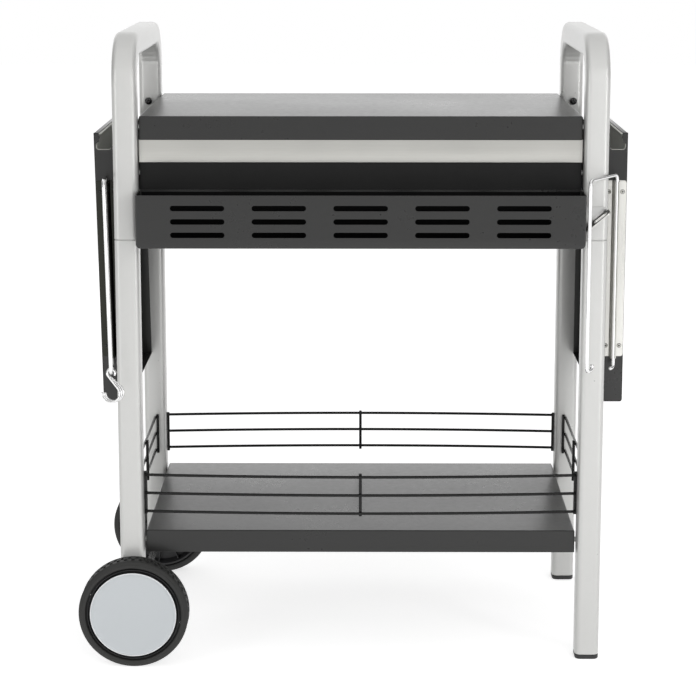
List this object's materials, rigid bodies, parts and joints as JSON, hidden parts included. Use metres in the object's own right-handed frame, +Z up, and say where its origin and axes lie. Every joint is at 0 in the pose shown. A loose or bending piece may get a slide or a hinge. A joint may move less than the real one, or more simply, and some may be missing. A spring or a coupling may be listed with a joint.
{
  "type": "grill cart",
  "caption": "Grill cart on two wheels and two feet, with tube frames, a top panel, a slotted front tray, a railed shelf, fold-down side tables, swing rails and S-hooks.",
  "frame": {"origin": "on the floor, in the middle of the cart's outer box with the side tables folded down", "axes": "+X to the right along the cart, towards the feet, -Y to the front, where the tray is, +Z up"},
  "size_m": [0.911, 0.6036, 1.054],
  "materials": {
    "silver_paint": "silver grey powder coat on steel tube, satin",
    "dark_paint": "anthracite powder coat on sheet steel, fine texture, satin",
    "brushed_steel": "stainless steel sheet brushed lengthwise",
    "chrome_wire": "bright chrome plated wire",
    "black_wire": "black powder coat on welded wire",
    "black_plastic": "moulded black plastic, matt",
    "tyre_rubber": "dark grey rubber with tread blocks",
    "wheel_disc": "light blue-grey painted disc, satin",
    "zinc_steel": "zinc plated steel",
    "black_bolt": "black coated round head bolt"
  },
  "bodies": {
    "cart": {"left_handle_frame": "silver_paint", "right_handle_frame": "silver_paint", "front_left_leg": "silver_paint", "front_left_end_cap": "black_plastic", "front_left_tube_joiner": "zinc_steel", "rear_left_leg": "silver_paint", "rear_left_end_cap": "black_plastic", "rear_left_tube_joiner": "zinc_steel", "front_right_leg": "silver_paint", "front_right_foot": "black_plastic", "front_right_tube_joiner": "zinc_steel", "rear_right_leg": "silver_paint", "rear_right_foot": "black_plastic", "rear_right_tube_joiner": "zinc_steel", "top_panel": "dark_paint", "casing": "dark_paint", "steel_front_strip": "brushed_steel", "front_tray": "dark_paint", "bottom_shelf": "dark_paint", "front_guard_rail": "black_wire", "rear_guard_rail": "black_wire", "left_guard_rail": "black_wire", "right_guard_rail": "black_wire", "front_left_casing_bolt": "zinc_steel", "front_left_shelf_bolt": "zinc_steel", "front_left_stop_bolt": "black_bolt", "front_left_pivot_pin": "zinc_steel", "rear_left_casing_bolt": "zinc_steel", "rear_left_shelf_bolt": "zinc_steel", "rear_left_stop_bolt": "black_bolt", "rear_left_pivot_pin": "zinc_steel", "front_right_casing_bolt": "zinc_steel", "front_right_shelf_bolt": "zinc_steel", "front_right_stop_bolt": "black_bolt", "front_right_pivot_pin": "zinc_steel", "rear_right_casing_bolt": "zinc_steel", "rear_right_shelf_bolt": "zinc_steel", "rear_right_stop_bolt": "black_bolt", "rear_right_pivot_pin": "zinc_steel", "axle": "zinc_steel", "front_axle_spacer": "zinc_steel", "front_push_nut": "zinc_steel", "rear_axle_spacer": "zinc_steel", "rear_push_nut": "zinc_steel", "bottle_opener": "brushed_steel"},
    "front_wheel": {"front_tyre": "tyre_rubber", "front_rim": "black_plastic", "front_wheel_cap": "wheel_disc"},
    "rear_wheel": {"rear_tyre": "tyre_rubber", "rear_rim": "black_plastic", "rear_wheel_cap": "wheel_disc"},
    "left_table": {"left_table": "dark_paint", "left_rail_plate": "brushed_steel"},
    "right_table": {"right_table": "dark_paint", "right_rail_plate": "brushed_steel"},
    "left_rail": {"left_swing_rail": "chrome_wire"},
    "right_rail": {"right_swing_rail": "chrome_wire"},
    "hook_1": {"s_hook_1": "chrome_wire"},
    "hook_2": {"s_hook_2": "chrome_wire"},
    "hook_3": {"s_hook_3": "chrome_wire"}
  },
  "joints": [
    {"name": "front_wheel_spin", "type": "hinge", "parent": "cart", "child": "front_wheel", "pos_m": [-0.3635, -0.24873, 0.092], "axis": [0, 1, 0], "continuous": true},
    {"name": "rear_wheel_spin", "type": "hinge", "parent": "cart", "child": "rear_wheel", "pos_m": [-0.3635, 0.28127, 0.092], "axis": [0, 1, 0], "continuous": true},
    {"name": "left_table_lift", "type": "hinge", "parent": "cart", "child": "left_table", "pos_m": [-0.3705, 0.01627, 0.868], "axis": [0, 1, 0], "range_deg": [0, 91]},
    {"name": "right_table_lift", "type": "hinge", "parent": "cart", "child": "right_table", "pos_m": [0.4035, 0.01627, 0.868], "axis": [0, -1, 0], "range_deg": [0, 90]},
    {"name": "left_rail_swing", "type": "hinge", "parent": "left_table", "child": "left_rail", "pos_m": [-0.40399, -0.20073, 0.86742], "axis": [0.0175, 0, -0.9998], "range_deg": [-24, 94]},
    {"name": "right_rail_swing", "type": "hinge", "parent": "right_table", "child": "right_rail", "pos_m": [0.437, -0.20073, 0.868], "axis": [0, 0, 1], "range_deg": [0, 120]},
    {"name": "hook_1_swing", "type": "hinge", "parent": "left_rail", "child": "hook_1", "pos_m": [-0.38962, -0.28554, 0.51161], "axis": [0.0958, -0.9954, 0.0017], "range_deg": [-90, 90]},
    {"name": "hook_2_swing", "type": "hinge", "parent": "left_rail", "child": "hook_2", "pos_m": [-0.38925, -0.28932, 0.51162], "axis": [0.0958, -0.9954, 0.0017], "range_deg": [-90, 90]},
    {"name": "hook_3_swing", "type": "hinge", "parent": "left_rail", "child": "hook_3", "pos_m": [-0.38889, -0.29311, 0.51162], "axis": [0.0958, -0.9954, 0.0017], "range_deg": [-90, 90]}
  ]
}
